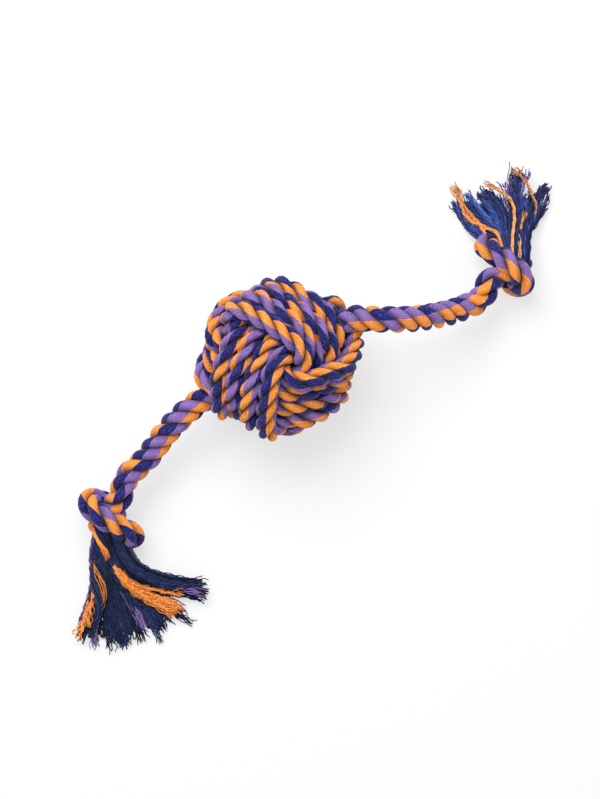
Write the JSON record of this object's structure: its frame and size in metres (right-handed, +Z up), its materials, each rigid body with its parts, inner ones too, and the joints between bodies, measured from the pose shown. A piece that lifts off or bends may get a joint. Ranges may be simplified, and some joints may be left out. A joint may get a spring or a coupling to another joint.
{
  "type": "rope dog toy",
  "caption": "Monkey's fist rope ball on a thick laid rope whose two bendable arms end in an overhand knot and a frayed tassel, for throwing, chewing and tugging.",
  "frame": {"origin": "on the floor, under the middle of the bounding box", "axes": "+X along the handle rope through the ball, from the low arm to the arched arm; +Z up, as the toy lies"},
  "size_m": [0.373, 0.1566, 0.0898],
  "materials": {
    "orange_yarn": "soft spun cotton yarn, orange",
    "purple_yarn": "soft spun cotton yarn, purple",
    "navy_yarn": "soft spun cotton yarn, navy blue"
  },
  "bodies": {
    "ball": {"ball_winding": "orange_yarn", "ball_core": "purple_yarn", "handle_rope_centre": "navy_yarn"},
    "left_arm_1": {"left_arm_1_strand_1": "orange_yarn", "left_arm_1_strand_2": "purple_yarn", "left_arm_1_strand_3": "navy_yarn"},
    "left_arm_2": {"left_arm_2_strand_1": "orange_yarn", "left_arm_2_strand_2": "purple_yarn", "left_arm_2_strand_3": "navy_yarn"},
    "left_knot": {"left_knot": "purple_yarn"},
    "left_tassel": {"left_tassel_neck": "navy_yarn", "left_tassel_lock_1": "navy_yarn", "left_tassel_lock_2": "navy_yarn", "left_tassel_lock_3": "navy_yarn"},
    "right_arm_1": {"right_arm_1_strand_1": "orange_yarn", "right_arm_1_strand_2": "purple_yarn", "right_arm_1_strand_3": "navy_yarn"},
    "right_arm_2": {"right_arm_2_strand_1": "orange_yarn", "right_arm_2_strand_2": "purple_yarn", "right_arm_2_strand_3": "navy_yarn"},
    "right_arm_3": {"right_arm_3_strand_1": "orange_yarn", "right_arm_3_strand_2": "purple_yarn", "right_arm_3_strand_3": "navy_yarn"},
    "right_knot": {"right_knot": "purple_yarn"},
    "right_tassel": {"right_tassel_neck": "navy_yarn", "right_tassel_lock_1": "navy_yarn", "right_tassel_lock_2": "navy_yarn", "right_tassel_lock_3": "navy_yarn"}
  },
  "joints": [
    {"name": "left_exit_swing", "type": "hinge", "parent": "ball", "child": "left_arm_1", "pos_m": [-0.04981, 0.03365, 0.03196], "axis": [-0.1254, -0.009, 0.9921], "range_deg": [-35, 35]},
    {"name": "left_mid_lift", "type": "hinge", "parent": "left_arm_1", "child": "left_arm_2", "pos_m": [-0.08369, 0.02551, 0.02714], "axis": [0.3959, -0.9183, 0], "range_deg": [-35, 35]},
    {"name": "left_knot_swing", "type": "hinge", "parent": "left_arm_2", "child": "left_knot", "pos_m": [-0.11358, 0.01446, 0.0256], "axis": [-0.3457, -0.1318, 0.929], "range_deg": [-35, 35]},
    {"name": "left_tassel_flop", "type": "hinge", "parent": "left_knot", "child": "left_tassel", "pos_m": [-0.14341, -0.01708, 0.0186], "axis": [0.8965, -0.4431, 0], "range_deg": [-45, 20]},
    {"name": "right_exit_swing", "type": "hinge", "parent": "ball", "child": "right_arm_1", "pos_m": [0.04151, 0.03365, 0.05439], "axis": [-0.2565, 0.0738, 0.9637], "range_deg": [-28, 35]},
    {"name": "right_mid_lift", "type": "hinge", "parent": "right_arm_1", "child": "right_arm_2", "pos_m": [0.06509, 0.01974, 0.05573], "axis": [0.4424, 0.8968, 0], "range_deg": [-35, 35]},
    {"name": "right_mid_swing", "type": "hinge", "parent": "right_arm_2", "child": "right_arm_3", "pos_m": [0.08921, 0.01106, 0.0377], "axis": [0.6307, -0.1515, 0.7611], "range_deg": [-35, 35]},
    {"name": "right_knot_lift", "type": "hinge", "parent": "right_arm_3", "child": "right_knot", "pos_m": [0.11361, 0.00879, 0.02549], "axis": [-0.0512, 0.9987, 0], "range_deg": [-35, 35]},
    {"name": "right_tassel_flop", "type": "hinge", "parent": "right_knot", "child": "right_tassel", "pos_m": [0.14581, 0.03568, 0.01849], "axis": [0.1515, 0.3066, 0.9397], "range_deg": [-25, 25]}
  ]
}
